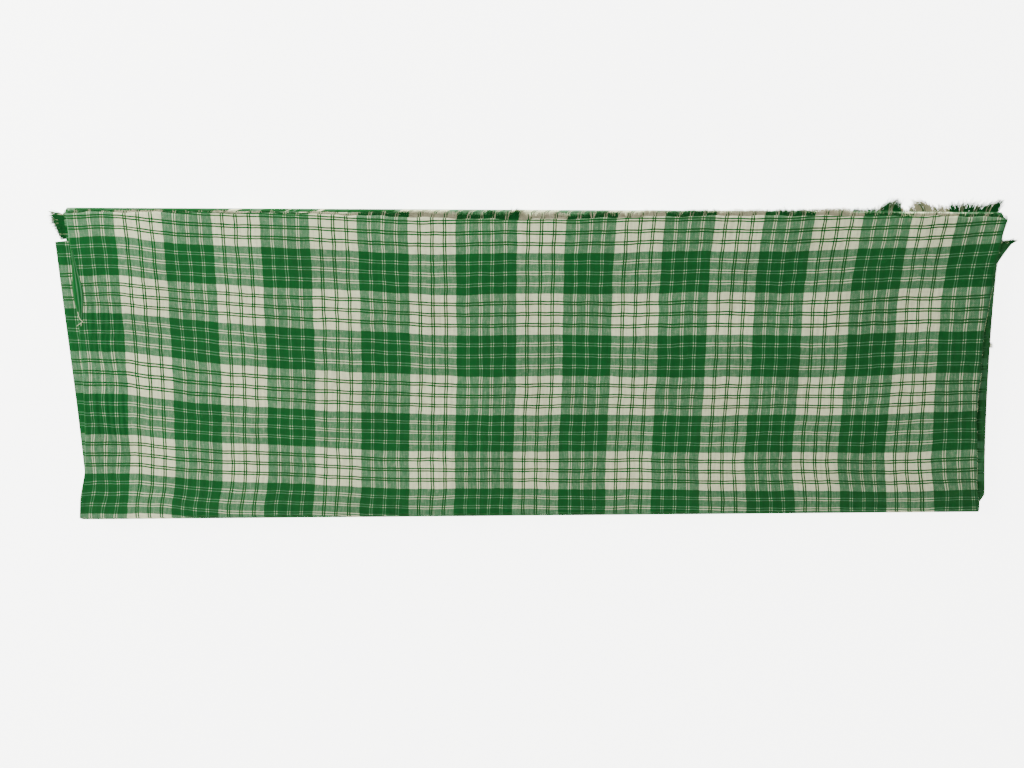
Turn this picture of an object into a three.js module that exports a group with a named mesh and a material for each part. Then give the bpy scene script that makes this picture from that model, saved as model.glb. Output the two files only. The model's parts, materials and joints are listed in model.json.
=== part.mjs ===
// A length of checked cotton, folded for the shelf.
// The cloth is doubled along its length, so that its two selvedges lie together at the
// right, and is then folded back and forth into a pile of panels.
// Millimetres, +Z up. +X runs along the folds and +Y points to the side of the cut ends.
// The origin is at the bottom centre of the whole pile.
import * as THREE from 'three';

// Driving sizes.
const panelLength = 553;         // from the side fold to the selvedges, at mid depth
const panelCount = 8;
const plyThickness = 0.5;
const plyGap = 0.3;              // air between two plies that lie on each other
const seatGap = 0.3;             // clearance where two pieces of the same ply meet
const nearFold = -96.4;          // where the top fold of the near side lies at mid length
const farFold = 91.7;            // the same for the far side
const nearFoldSlope = 0.009;     // the fold lines aren't quite square to the selvedge
const farFoldSlope = -0.005;
const nearFoldSteps = [1.4, 0.7, 0.2, 0];    // how far the near folds lie inside the top one
const farFoldSteps = [0.7, 0.1, 0];
const firstEndInset = 1.5;       // the raw ends stop short of the far folds
const lastEndInset = 0.5;
const fringeThickness = 0.4;
const lastFringeReach = 1.6;     // length of the loose warp ends on the top panel
const firstFringeReach = 2.2;    // and on the bottom panel, at its side fold
const firstFringeGrowth = 5.2;   // extra length of the bottom fringe at the selvedge
const tuftWidth = 9;             // loose warp ends cling together in tufts
const tuftDepth = 1.1;
const cornerTuftReach = 7.5;     // how far the frayed corner fans out past the side fold
const cornerTuftDepth = 16;
const pleat = { low: -14, high: 60, edge: 0.6, width: 4.2 };
const threadRadius = 0.3;
const threadSpan = 9.4;          // how far the loose thread reaches along the side fold
const threadFrom = 23.6;

// Sides of each panel, from the bottom of the pile to the top. shift moves an edge to the
// right, lean moves its far end against its near end and bow draws both ends outwards.
const sides = [
  { fold: { shift: -3.0, lean: -3.0, bow: 1.5 }, edge: { shift: 1.5, lean: -2.5, bow: 3.0 } },
  { fold: { shift: 1.0, lean: 2.0, bow: 2.5 }, edge: { shift: -1.0, lean: 2.0, bow: 3.5 } },
  { fold: { shift: -0.5, lean: -1.5, bow: 2.0 }, edge: { shift: 0.5, lean: -1.0, bow: 4.0 } },
  { fold: { shift: 1.5, lean: 1.5, bow: 3.0 }, edge: { shift: -1.5, lean: 1.0, bow: 4.5 } },
  { fold: { shift: 0.5, lean: -1.0, bow: 2.0 }, edge: { shift: 1.0, lean: -1.5, bow: 3.5 } },
  { fold: { shift: 2.0, lean: 1.5, bow: 3.5 }, edge: { shift: -1.0, lean: 1.5, bow: 4.5 } },
  { fold: { shift: -4.5, lean: -8.5, bow: 1.0 }, edge: { shift: 1.5, lean: -5.0, bow: 3.5 } },
  { fold: { shift: 2.5, lean: 3.5, bow: 4.7 }, edge: { shift: -4.0, lean: 2.0, bow: 8.5 } },
];
const selvedgeStagger = 0.9;     // the lower selvedge of a panel lies this far inside the upper
// The far corners of one panel are turned under, so that it steps back above them. drop is
// how far below the far fold it does.
const turnedPanel = 7;
const foldCorner = { drop: 18.7, inset: 10.5, round: 1.5 };
const edgeCorner = { drop: 16.2, inset: 7.5, point: 8.5, taper: 13, round: 1 };
const edgeSteps = 8;
const arcSteps = 3;

const panelThickness = 2 * plyThickness + plyGap;
const panelPitch = panelThickness + plyGap;
const sideRoom = panelThickness / 2 + seatGap;   // clear of a side fold's outside

const cloth = new THREE.MeshStandardMaterial({ color: 0x5f9a6b, roughness: 0.92, metalness: 0 });
const crease = new THREE.MeshStandardMaterial({ color: 0x3f7f4e, roughness: 0.92, metalness: 0 });
const yarnGreen = new THREE.MeshStandardMaterial({ color: 0x245f33, roughness: 0.95, metalness: 0 });
const yarnCream = new THREE.MeshStandardMaterial({ color: 0xc9c7b4, roughness: 0.95, metalness: 0 });

const group = new THREE.Group();

function addMesh(name, geometry, material) {
  const mesh = new THREE.Mesh(geometry, material);
  mesh.name = name;
  group.add(mesh);
}

// Height of the underside of a panel, counted from 1 at the bottom.
function panelBase(panel) {
  return (panel - 1) * panelPitch;
}

// Fold number n joins panel n to panel n + 1. Odd folds are at the near side.
function foldLine(fold) {
  const near = fold % 2 === 1;
  const steps = near ? nearFoldSteps : farFoldSteps;
  const inset = steps[Math.floor((fold - 1) / 2)];
  return {
    near,
    y: near ? nearFold + inset : farFold - inset,
    slope: near ? nearFoldSlope : farFoldSlope,
    z: fold * panelPitch - plyGap / 2,
  };
}

function lineAt(line, x) {
  return line.y + line.slope * x;
}

// The two lines that end a panel: its near one and its far one. A raw end takes the
// place of a fold at the far side of the first and the last panel.
function panelEnds(panel) {
  const below = panel > 1 ? foldLine(panel - 1) : null;
  const above = panel < panelCount ? foldLine(panel) : null;
  const near = above && above.near ? above : below;
  if (panel === 1) {
    return { near, far: { y: foldLine(2).y - firstEndInset, slope: farFoldSlope } };
  }
  if (panel === panelCount) {
    return { near, far: { y: farFold - lastEndInset, slope: farFoldSlope } };
  }
  return { near, far: above.near ? below : above };
}

// x of a side edge at a depth y. bow grows with the square of the distance from mid depth.
function sideAt(panel, side, y) {
  const shape = sides[panel - 1][side];
  const sign = side === 'fold' ? -1 : 1;
  const across = (2 * y - nearFold - farFold) / (farFold - nearFold);
  const bow = shape.bow * across ** 2;
  return sign * (panelLength / 2 + bow) + shape.shift + shape.lean * across / 2;
}

// Points up one side of a panel, between its end lines. On the turned panel the cloth
// above its folded corner steps back from the edge.
function sidePoints(panel, side, offset, endGap) {
  const { from, to } = sideSpan(panel, side, endGap);
  const points = [];
  for (let step = 0; step <= edgeSteps; step += 1) {
    const y = from + (to - from) * step / edgeSteps;
    points.push(new THREE.Vector2(sideAt(panel, side, y) + offset, y));
  }
  if (panel !== turnedPanel) {
    return points;
  }
  return side === 'fold' ? turnFoldCorner(points, to, offset) : turnEdgeCorner(points, to, offset);
}

// Where a side edge starts and ends, measured where it meets the two end lines.
function sideSpan(panel, side, endGap) {
  const ends = panelEnds(panel);
  const x = sideAt(panel, side, 0);
  return { from: lineAt(ends.near, x) + endGap, to: lineAt(ends.far, x) - endGap };
}

// The corner at the side fold has a clean, rounded end.
function turnFoldCorner(points, to, offset) {
  const { drop, inset, round } = foldCorner;
  const from = farFold - drop;
  const tip = sideAt(turnedPanel, 'fold', from) + offset;
  const kept = points.filter((point) => point.y < from - 2 * round);
  kept.push(new THREE.Vector2(tip, from - round));
  kept.push(new THREE.Vector2(tip + round, from));
  kept.push(new THREE.Vector2(tip + inset, from + round / 2));
  kept.push(new THREE.Vector2(tip + inset, to));
  return kept;
}

// The corner at the selvedges is pulled out to a point.
function turnEdgeCorner(points, to, offset) {
  const { drop, inset, point, taper, round } = edgeCorner;
  const from = farFold - drop;
  const tip = sideAt(turnedPanel, 'edge', from) + offset;
  const kept = points.filter((place) => place.y < from - taper);
  kept.push(new THREE.Vector2(tip + point, from));
  kept.push(new THREE.Vector2(tip - inset, from - round));
  kept.push(new THREE.Vector2(tip - inset, to));
  return kept;
}

function plyGeometry(panel, selvedgeInset) {
  const left = sidePoints(panel, 'fold', seatGap, seatGap / 2);
  const right = sidePoints(panel, 'edge', -selvedgeInset, seatGap / 2);
  const outline = right.concat(left.reverse());
  const settings = { depth: plyThickness, bevelEnabled: false };
  return new THREE.ExtrudeGeometry(new THREE.Shape(outline), settings);
}

// Half of a flat ring, open towards -X, with its outside towards +X.
function halfRing(inner, outer) {
  const shape = new THREE.Shape();
  shape.absarc(0, 0, outer, -Math.PI / 2, Math.PI / 2, false);
  shape.absarc(0, 0, inner, Math.PI / 2, -Math.PI / 2, true);
  return shape;
}

// The strip where the doubled cloth turns at the side, one for each panel.
function sideFoldGeometry(panel) {
  const span = sideSpan(panel, 'fold', seatGap / 2);
  const from = span.from;
  const to = panel === turnedPanel ? farFold - foldCorner.drop - 2 * foldCorner.round : span.to;
  const settings = {
    depth: to - from,
    steps: edgeSteps,
    bevelEnabled: false,
    curveSegments: arcSteps,
  };
  const geometry = new THREE.ExtrudeGeometry(halfRing(plyGap / 2, panelThickness / 2), settings);
  const basis = new THREE.Matrix4().makeBasis(
    new THREE.Vector3(-1, 0, 0),
    new THREE.Vector3(0, 0, 1),
    new THREE.Vector3(0, 1, 0),
  );
  geometry.applyMatrix4(basis);
  geometry.translate(0, from, panelThickness / 2);
  const place = geometry.attributes.position;
  for (let i = 0; i < place.count; i += 1) {
    place.setX(i, place.getX(i) + sideAt(panel, 'fold', place.getY(i)));
  }
  return geometry;
}

// The strip where two panels join. The inner ply turns tightly inside the outer one.
function creaseGeometry(fold, inner, outer) {
  const line = foldLine(fold);
  const out = line.near ? -1 : 1;
  const joined = [fold, fold + 1];
  const left = Math.max(...joined.map((panel) => creaseEnd(panel, 'fold', line)));
  const right = Math.min(...joined.map((panel) => creaseEnd(panel, 'edge', line)));
  const settings = { depth: right - left, bevelEnabled: false, curveSegments: arcSteps };
  const geometry = new THREE.ExtrudeGeometry(halfRing(inner, outer), settings);
  const along = new THREE.Vector3(1, line.slope, 0).normalize();
  const outward = new THREE.Vector3(-line.slope, 1, 0).normalize().multiplyScalar(out);
  const up = new THREE.Vector3(0, 0, 1);
  const basis = new THREE.Matrix4().makeBasis(outward, up, along.clone().multiplyScalar(out));
  geometry.applyMatrix4(basis);
  const start = line.near ? right : left;
  geometry.translate(start, lineAt(line, start) + out * seatGap / 2, line.z);
  return geometry;
}

// Where a crease strip stops at one side: at the panel's own corner.
function creaseEnd(panel, side, line) {
  const points = sidePoints(panel, side, 0, 0);
  return line.near ? points[0].x : points[points.length - 1].x;
}

// Loose warp ends beyond a raw end: a thin comb with one soft point to each tuft.
function fringeGeometry(panel, reachAt) {
  const far = panelEnds(panel).far;
  const left = creaseEnd(panel, 'fold', far) + seatGap;
  const right = creaseEnd(panel, 'edge', far) - selvedgeStagger;
  const tufts = Math.round((right - left) / tuftWidth);
  const base = [];
  const tips = [];
  for (let i = 0; i <= 2 * tufts; i += 1) {
    const share = i / (2 * tufts);
    const x = left + (right - left) * share;
    // Uneven tufts: the two rates never fall into step.
    const wave = tuftDepth / 3 * Math.sin(2.7 * i + 1.3 * Math.sin(0.9 * i));
    const notch = i % 2 === 0 ? -tuftDepth / 2 : tuftDepth / 2;
    const y = lineAt(far, x);
    tips.push(new THREE.Vector2(x, y + reachAt(share) + notch + wave));
    base.push(new THREE.Vector2(x, y + seatGap / 2));
  }
  const outline = base.concat(tips.reverse());
  const settings = { depth: fringeThickness, bevelEnabled: false };
  return new THREE.ExtrudeGeometry(new THREE.Shape(outline), settings);
}

// The frayed corner of the first end, which fans out past its side fold.
function cornerTuftGeometry() {
  const top = sideSpan(1, 'fold', seatGap).to;
  const x = sideAt(1, 'fold', top) - sideRoom;
  const foot = top - cornerTuftDepth;
  const shape = new THREE.Shape();
  shape.moveTo(sideAt(1, 'fold', foot) - sideRoom, foot);
  shape.lineTo(x, top);
  shape.quadraticCurveTo(x - cornerTuftReach, top + tuftDepth, x - cornerTuftReach, top - tuftDepth);
  shape.quadraticCurveTo(x - cornerTuftReach, (top + foot) / 2, sideAt(1, 'fold', foot) - sideRoom, foot);
  const settings = { depth: fringeThickness, bevelEnabled: false, curveSegments: edgeSteps };
  return new THREE.ExtrudeGeometry(shape, settings);
}

// A narrow roll of the top panel's side fold that has slipped out beside it.
function sidePleatGeometry() {
  const inner = [];
  const outer = [];
  for (let step = 0; step <= edgeSteps; step += 1) {
    const share = step / edgeSteps;
    const y = pleat.low + (pleat.high - pleat.low) * share;
    const x = sideAt(panelCount, 'fold', y) - sideRoom;
    const reach = pleat.edge + pleat.width * Math.sin(Math.PI * share);
    inner.push(new THREE.Vector2(x, y));
    outer.push(new THREE.Vector2(x - reach, y));
  }
  const outline = inner.concat(outer.reverse());
  const settings = { depth: plyThickness, bevelEnabled: false };
  return new THREE.ExtrudeGeometry(new THREE.Shape(outline), settings);
}

// One weft thread that has worked loose at the top panel's side fold.
function looseThreadGeometry(base) {
  const edge = sideAt(panelCount, 'fold', threadFrom);
  const route = new THREE.CatmullRomCurve3([
    new THREE.Vector3(edge + 0.2, threadFrom + threadSpan, base),
    new THREE.Vector3(edge + 0.6, threadFrom + threadSpan * 0.6, base),
    new THREE.Vector3(edge + 2.2, threadFrom + threadSpan * 0.4, base),
    new THREE.Vector3(edge + 0.4, threadFrom + threadSpan * 0.2, base),
    new THREE.Vector3(edge - 2.4, threadFrom, base),
  ]);
  const section = new THREE.Shape();
  section.absarc(0, 0, threadRadius, 0, 2 * Math.PI, false);
  const settings = { steps: 16, bevelEnabled: false, curveSegments: 8, extrudePath: route };
  return new THREE.ExtrudeGeometry(section, settings);
}

for (let panel = 1; panel <= panelCount; panel += 1) {
  const base = panelBase(panel);
  const lower = plyGeometry(panel, selvedgeStagger);
  lower.translate(0, 0, base);
  addMesh(`panel_${panel}_lower_ply`, lower, cloth);
  const upper = plyGeometry(panel, 0);
  upper.translate(0, 0, base + plyThickness + plyGap);
  addMesh(`panel_${panel}_upper_ply`, upper, cloth);
  const side = sideFoldGeometry(panel);
  side.translate(0, 0, base);
  addMesh(`panel_${panel}_side_fold`, side, crease);
}

for (let fold = 1; fold < panelCount; fold += 1) {
  const innerOuter = plyGap / 2 + plyThickness;
  const outerInner = innerOuter + plyGap;
  addMesh(`fold_${fold}_inner_crease`, creaseGeometry(fold, plyGap / 2, innerOuter), crease);
  const wrap = creaseGeometry(fold, outerInner, outerInner + plyThickness);
  addMesh(`fold_${fold}_outer_crease`, wrap, crease);
}

const plyMiddle = (plyThickness - fringeThickness) / 2;
const upperPly = plyThickness + plyGap;
const firstReach = (share) => firstFringeReach + firstFringeGrowth * share ** 2;
const lastReach = () => lastFringeReach;
const fringes = [
  { name: 'first_end_lower_fringe', panel: 1, lift: 0, reach: firstReach },
  { name: 'first_end_upper_fringe', panel: 1, lift: upperPly, reach: firstReach },
  { name: 'last_end_lower_fringe', panel: panelCount, lift: 0, reach: lastReach },
  { name: 'last_end_upper_fringe', panel: panelCount, lift: upperPly, reach: lastReach },
];
for (const fringe of fringes) {
  const geometry = fringeGeometry(fringe.panel, fringe.reach);
  geometry.translate(0, 0, panelBase(fringe.panel) + fringe.lift + plyMiddle);
  addMesh(fringe.name, geometry, yarnGreen);
}

const cornerTuft = cornerTuftGeometry();
cornerTuft.translate(0, 0, upperPly / 2);
addMesh('first_end_corner_tuft', cornerTuft, yarnGreen);

const topBase = panelBase(panelCount);
const sidePleat = sidePleatGeometry();
sidePleat.translate(0, 0, topBase + (panelThickness - plyThickness) / 2);
addMesh(`panel_${panelCount}_side_pleat`, sidePleat, crease);

const threadBase = topBase + panelThickness + seatGap + threadRadius;
addMesh('loose_thread', looseThreadGeometry(threadBase), yarnCream);

// The pile stands on its own bottom centre.
const box = new THREE.Box3().setFromObject(group);
const middle = box.getCenter(new THREE.Vector3());
group.position.set(-middle.x, -middle.y, 0);

export default group;
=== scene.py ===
import json
import math

import bpy
import numpy as np
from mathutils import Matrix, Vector


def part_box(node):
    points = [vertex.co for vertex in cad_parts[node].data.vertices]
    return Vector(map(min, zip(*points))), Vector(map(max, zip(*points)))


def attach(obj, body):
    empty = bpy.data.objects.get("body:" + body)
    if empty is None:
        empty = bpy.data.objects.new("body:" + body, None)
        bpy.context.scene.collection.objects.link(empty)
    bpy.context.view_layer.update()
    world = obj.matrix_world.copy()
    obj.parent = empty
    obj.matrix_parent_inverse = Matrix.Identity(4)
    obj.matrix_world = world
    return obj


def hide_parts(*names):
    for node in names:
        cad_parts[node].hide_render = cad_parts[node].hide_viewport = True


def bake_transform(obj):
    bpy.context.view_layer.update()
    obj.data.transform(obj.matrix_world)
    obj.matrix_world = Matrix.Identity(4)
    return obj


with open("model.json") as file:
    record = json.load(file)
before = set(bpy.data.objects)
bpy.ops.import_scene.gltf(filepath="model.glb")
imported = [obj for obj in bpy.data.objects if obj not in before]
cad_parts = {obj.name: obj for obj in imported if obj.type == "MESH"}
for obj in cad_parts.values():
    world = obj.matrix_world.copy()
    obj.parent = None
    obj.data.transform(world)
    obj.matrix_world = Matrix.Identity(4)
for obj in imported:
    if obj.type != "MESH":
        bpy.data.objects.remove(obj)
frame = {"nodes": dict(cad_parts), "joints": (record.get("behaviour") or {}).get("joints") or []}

print("folded check cotton: frame loaded")
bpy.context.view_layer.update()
mm = 0.001
panelCount = 8
joints = {joint["name"]: joint for joint in frame["joints"]}

# The eye is almost straight above, leaning back towards the raw ends.
eye = {"place": (-10.76, 176.37, 790.4), "lean": -13.5, "lens": 46}
camera = bpy.data.objects.new("eye", bpy.data.cameras.new("eye"))
bpy.context.scene.collection.objects.link(camera)
camera.location = Vector(eye["place"]) * mm
camera.rotation_euler = (math.radians(eye["lean"]), 0, 0)
camera.data.lens = eye["lens"]
bpy.context.scene.camera = camera


def smooth(value, low, high):
    share = np.clip((np.asarray(value, float) - low) / (high - low), 0, 1)
    return share * share * (3 - 2 * share)


def hump(value, middle, width):
    return np.exp(-(((np.asarray(value, float) - middle) / width) ** 2))


# The cloth's own sizes, in millimetres.
cloth = {
    "ply": 0.45,              # thickness of one ply
    "creasePly": 0.38,        # pressed thinner where it folds
    "lowerPly": 0.25,         # middle of the lower ply above the panel's underside
    "plyRise": 0.8,           # from there to the middle of the upper ply
    "sideTurn": 0.3,          # how far the side fold bulges past the plies
    "straightTo": 60.0,       # y up to which every side is one plain curve
    "topWidth": 553.0,        # of the top panel at mid height
    "meshWidth": 555.0,       # shared out among the columns of the mesh
    "meshLength": 188.0,
    "fineGrid": 1.7,          # mesh step on the top panel
    "grid": 5.0,              # and on panels that lie inside the pile
    "finerShare": 0.085,      # part of the width beside the side fold that has a finer mesh
    "finerColumns": 86,
    "finerInsteadOf": 27,     # and stands in for this many columns of the plain one
    "turnSteps": 6,           # round the side fold
    "creaseSteps": 10,        # round a fold between two panels
    "creaseReach": 1.2,       # how far up and down a crease bends
    "checkJump": 5.0,         # a bigger step in the check than this isn't drawn out
}
check = {
    "green": 29.4,            # width of a green warp band
    "cream": 28.1,
    "wideHalf": 18.1,         # half of the one wide green band
    "warpPitch": 7.7,         # from one pair of fine lines to the next
    "warpLine": 0.5,
    "warpSplit": 0.68,        # half the distance between the two lines of a pair
    "row": 24.5,              # height of a weft band, green and cream alike
    "weftPitch": 6.62,
    "weftLine": 0.54,
    "weftSplit": 0.76,
    "selvedge": 305.2,        # from the middle of the wide band to the selvedge
    "sideFold": 248.1,        # and to the side fold
    "wideAt": -26.2,          # x of the middle of the wide band on the top panel
    "topRow": 93.8,           # y where the top panel's first cream row would begin
    # Length of cloth from the first row to each panel's near side, back down the pile.
    "rowsTo": {7: 170.5, 6: 528.1, 5: 530.6, 4: 908.1, 3: 910.6, 2: 1288.1, 1: 1290.6},
}


def panelNodes(panel):
    return [f"panel_{panel}_{part}" for part in ("lower_ply", "upper_ply", "side_fold")]


def outline(node):
    found = {tuple(round(c / mm, 4) for c in v.co) for v in frame["nodes"][node].data.vertices}
    return np.array(sorted(found, key=lambda p: p[1]))


def quadraticThrough(points):
    return np.polyfit(points[:, 1], points[:, 0], 2)


# Where the far corners of panel 7 are turned under, below its far fold.
turned = {
    "panel": 7,
    "left": {"drop": 18.7, "inset": 10.5},
    "right": {"drop": 16.2, "inset": 7.5, "point": 8.0, "taper": 13.0, "curve": 1.15},
    "margin": 20.0,           # only this far from a side does the mesh give way
    "length": 187.6,          # of the panel, from fold to fold
    "crowding": 24.5 / 26.2,  # its rows lie a little further apart
    "rowSlope": 6.6,          # and run askew
}


def readPanel(panel):
    lower, upper = outline(f"panel_{panel}_lower_ply"), outline(f"panel_{panel}_upper_ply")
    below = upper[:, 1] < cloth["straightTo"]
    left, right = upper[:, 0] < 0, upper[:, 0] > 0
    shape = {
        "left": quadraticThrough(upper[below & left]) - np.array([0, 0, cloth["sideTurn"]]),
        "right": quadraticThrough(upper[below & right]),
        "base": lower[:, 2].min(),
    }
    far = np.array([upper[left][-1], upper[right][-1]])
    shape["near"] = foldLine(panel if panel % 2 else panel - 1)
    if panel in (1, panelCount):
        shape["far"] = np.polyfit(far[:, 0], far[:, 1], 1)
    else:
        shape["far"] = foldLine(panel - 1 if panel % 2 else panel)
    return shape


# Slope and place of a fold's hinge line.
def foldLine(fold):
    joint = joints[f"fold_{fold}"]
    axis, place = joint["axis"], joint["pos_m"]
    return np.array([axis[1] / axis[0], (place[1] - place[0] * axis[1] / axis[0]) / mm])


panels = {panel: readPanel(panel) for panel in range(1, panelCount + 1)}
hingeHeight = {fold: joints[f"fold_{fold}"]["pos_m"][2] / mm for fold in range(1, panelCount)}
print("outlines read from the frame")

# Relief of the pile, in millimetres: a slow rise and fall, more of it further up.
swell = {
    "height": 0.85,
    "level": 0.62,            # of that height, the mean
    "lowest": -0.3,
    "foldFade": 16.0,         # it dies out this far from a fold
    "farFold": 91.3,
    "topPly": 0.25,           # the top ply lies a little looser
    "ridge": 0.15,            # puckers beside the side fold
}


def liftAt(x, y):
    broad = (
        0.55 * np.sin(x / 47 + 0.6) * np.sin(y / 31 + 0.9)
        + 0.3 * np.sin(x / 23 - y / 37 + 2.1)
        + 0.22 * np.sin(x / 61 + y / 17 + 4.0)
    )
    return swell["height"] * (swell["level"] + broad)


# Fine puckers beside the side fold, and two shallow dents.
def puckersAt(x, y):
    wander = 1.6 * np.sin(y / 19 + 0.7) + 0.8 * np.sin(y / 7.3)
    beside = hump(x, -259, 15) * smooth(y, -88, -30) * smooth(-y, -78, -30)
    ridges = np.sin((x + wander) / 0.52) + 0.7 * np.sin((x - wander) / 0.83 + 1.3)
    dent = -0.5 * hump(x, -216, 13) * hump(y, 49, 17) - 0.3 * hump(x, -232, 9) * hump(y, 70, 9)
    crumple = 0.07 * np.sin(x / 5.1 + np.sin(y / 13)) * np.sin(y / 9.7 + x / 31)
    return swell["ridge"] * beside * ridges + dent + crumple


# Height of the middle of a ply. ply is 0 for the lower one and 1 for the upper one.
def heightAt(panel, ply, x, y):
    shape = panels[panel]
    level = ((panel - 1) * 2 + ply) / (2 * panelCount - 1)
    base = shape["base"] + cloth["lowerPly"] + cloth["plyRise"] * ply
    nearLine = np.polyval(shape["near"], x)
    fade = smooth(y - nearLine, 0.5, swell["foldFade"])
    fade = fade * smooth(swell["farFold"] - y, 0.5, swell["foldFade"])
    rise = np.maximum(liftAt(x, y), swell["lowest"]) * fade * level
    if panel == panelCount:
        # The raw edge curls up in places.
        rise = rise + smooth(y, 62, 92) * (0.35 + 0.3 * np.sin(x / 26 + 0.4) + 0.2 * np.sin(x / 11))
        if ply == 1:
            rise = rise + np.maximum(puckersAt(x, y) * fade, -0.12 - 0.5 * fade) + swell["topPly"] * fade
    return base + rise


# The near corners: the top panel's left one reaches out, the lower layers' right ones draw in.
nearCorner = {"out": 2.7, "outOver": (62, 88), "in": 3.4, "inOver": (81, 87)}


# x of a panel's left or right side at depth y.
def sideAt(panel, side, y):
    x = np.polyval(panels[panel][side], y)
    drawnIn = nearCorner["in"] * smooth(-y, *nearCorner["inOver"])
    if panel == turned["panel"]:
        top = np.polyval(foldLine(6), x)
        corner = turned[side]
        over = y > top - corner["drop"]
        if side == "left":
            return np.where(over, x + corner["inset"], x)
        spike = np.clip((y - (top - corner["drop"] - corner["taper"])) / corner["taper"], 0, 1)
        point = corner["point"] * spike ** corner["curve"]
        return np.where(over, x - corner["inset"], x + point) - drawnIn
    if panel == panelCount and side == "left":
        return x - nearCorner["out"] * smooth(-y, *nearCorner["outOver"])
    if side == "left":
        return x
    # The selvedge isn't quite straight.
    wavy = 0.35 * np.sin(y / 8 + panel) + 0.2 * np.sin(y / 3.1 + 2 * panel)
    return x + wavy - drawnIn * (panel < panelCount)


# How far, in millimetres, the warp slides sideways and the weft rises on the top panel.
drift = {
    "flareFrom": 30.0,        # y from which the far side fans out
    "flareMiddle": -44.0,
    "flareRight": 5.0,
    "flareLeft": 1.4,
    "nearLeft": -3.6,         # slides near the four corners and the sides
    "nearRight": 4.2,
    "nearMiddle": -1.2,
    "low": -1.9,
    "lowRight": 4.6,
    "right": -2.6,
    "selvedge": 1.6,
    "all": 0.6,
    "waver": 0.7,             # beside the side fold
    "leftRise": 8.8,          # the rows climb to the left
    "leftRiseMiddle": 5.6,
    "leftWave": 1.4,
    "rightRise": 2.4,         # and a little to the right
    "sag": 1.25,
    "leftSag": 1.2,
    "middleSag": 1.6,
}


def topPlace(x, y):
    flare = ((y - drift["flareFrom"]).clip(0, 60) / 56) ** 2
    aside = x - drift["flareMiddle"]
    slide = flare * np.where(aside > 0, drift["flareRight"] * aside / 270, drift["flareLeft"] * aside / 200)
    low = smooth(-y, -5, 62)
    slide = slide + drift["low"] * low + drift["lowRight"] * low * smooth(x, 217, 267)
    slide = slide + drift["nearLeft"] * smooth(-y, 60, 97) * smooth(-x, 60, 200)
    slide = slide + drift["right"] * smooth(x, 214, 247) + drift["selvedge"] * smooth(x, 250, 277)
    slide = slide + drift["all"] * smooth(x, -120, -60) + 0.7 * hump(x, 275, 30) * hump(y, 25, 30)
    slide = slide + drift["nearRight"] * smooth(-y, 55, 95) * smooth(x, 60, 180)
    slide = slide + drift["nearMiddle"] * smooth(-y, 75, 95) * smooth(-x, -20, 60)
    waver = drift["waver"] * hump(x, -260, 14) * np.sin(y / 6.5 + x / 8) * smooth(-y, -70, 0)
    across = x - check["wideAt"] - slide + waver
    leftRise = drift["leftRise"] + drift["leftRiseMiddle"] * hump(y, 8, 45)
    leftRise = leftRise * ((-x - 38).clip(0, 206) / 200) ** 1.6
    leftRise = leftRise - drift["leftWave"] * np.sin((x + 240) / 18) * hump(x, -230, 50) * hump(y, 65, 32)
    rightRise = drift["rightRise"] + 2.0 * smooth(y, 10, 75) - 2.6 * smooth(-y, 25, 85)
    rightRise = rightRise * (x.clip(0, 300) / 242) ** 2
    sagging = drift["sag"] * smooth(x, -20, 60) * smooth(-y, -60, -5)
    sagging = sagging + 0.5 * hump(x, 140, 70) * hump(y, -7, 20) + drift["middleSag"] * hump(y, -15, 30)
    leftSag = drift["leftSag"] + 1.4 * hump(y, -5, 32) + 1.3 * smooth(-y, 68, 93)
    sagging = sagging + hump(x, -190, 50) * leftSag
    sagging = sagging + drift["leftSag"] * smooth(-x, 225, 250) * smooth(-y, 68, 93)
    along = check["topRow"] - y + leftRise + rightRise - sagging
    along = along + 0.5 * np.sin(x / 41) + 0.35 * np.sin(x / 17 + y / 30)
    return across, along


# The same on the other panels. The rows run on from fold to fold, down the pile.
def innerPlace(panel, x, y):
    left, right = sideAt(panel, "left", y), sideAt(panel, "right", y)
    if panel == turned["panel"]:
        left, right = np.polyval(panels[panel]["left"], y), np.polyval(panels[panel]["right"], y)
    across = -check["sideFold"] + (x - left) / (right - left) * (check["selvedge"] + check["sideFold"])
    across = np.minimum(across, check["selvedge"] - 0.2)
    fromNear = y - np.polyval(panels[panel]["near"], x)
    if panel == turned["panel"]:
        fromNear = (fromNear + turned["rowSlope"] * smooth(x, -270, 280)) * turned["crowding"]
    along = check["rowsTo"][panel] + (fromNear if panel % 2 else -fromNear)
    along = along + 2.0 * np.sin(x / 150 + panel) + 0.5 * np.sin(x / 37 + 2 * panel)
    return across, along


def placeAt(panel, x, y):
    return topPlace(x, y) if panel == panelCount else innerPlace(panel, x, y)


def toLinear(hexColour):
    channels = [int(hexColour[i:i + 2], 16) / 255 for i in (1, 3, 5)]
    return [c / 12.92 if c <= 0.04045 else ((c + 0.055) / 1.055) ** 2.4 for c in channels] + [1.0]


# A value that is a socket or a node is linked, anything else is set.
def addNode(tree, kind, settings, values):
    node = tree.nodes.new(kind)
    for name, value in settings.items():
        setattr(node, name, value)
    for socket, value in values.items():
        if isinstance(value, bpy.types.Node):
            value = next(output for output in value.outputs if output.enabled)
        if isinstance(value, bpy.types.NodeSocket):
            tree.links.new(value, node.inputs[socket])
        else:
            node.inputs[socket].default_value = value
    return node


# Up to three values, each of them a socket, a node or a number.
def mathNode(tree, operation, *values):
    return addNode(tree, "ShaderNodeMath", {"operation": operation}, dict(enumerate(values)))


def newMaterial(name):
    material = bpy.data.materials.new(name)
    material.use_nodes = True
    material.node_tree.nodes.clear()
    return material, material.node_tree


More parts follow.
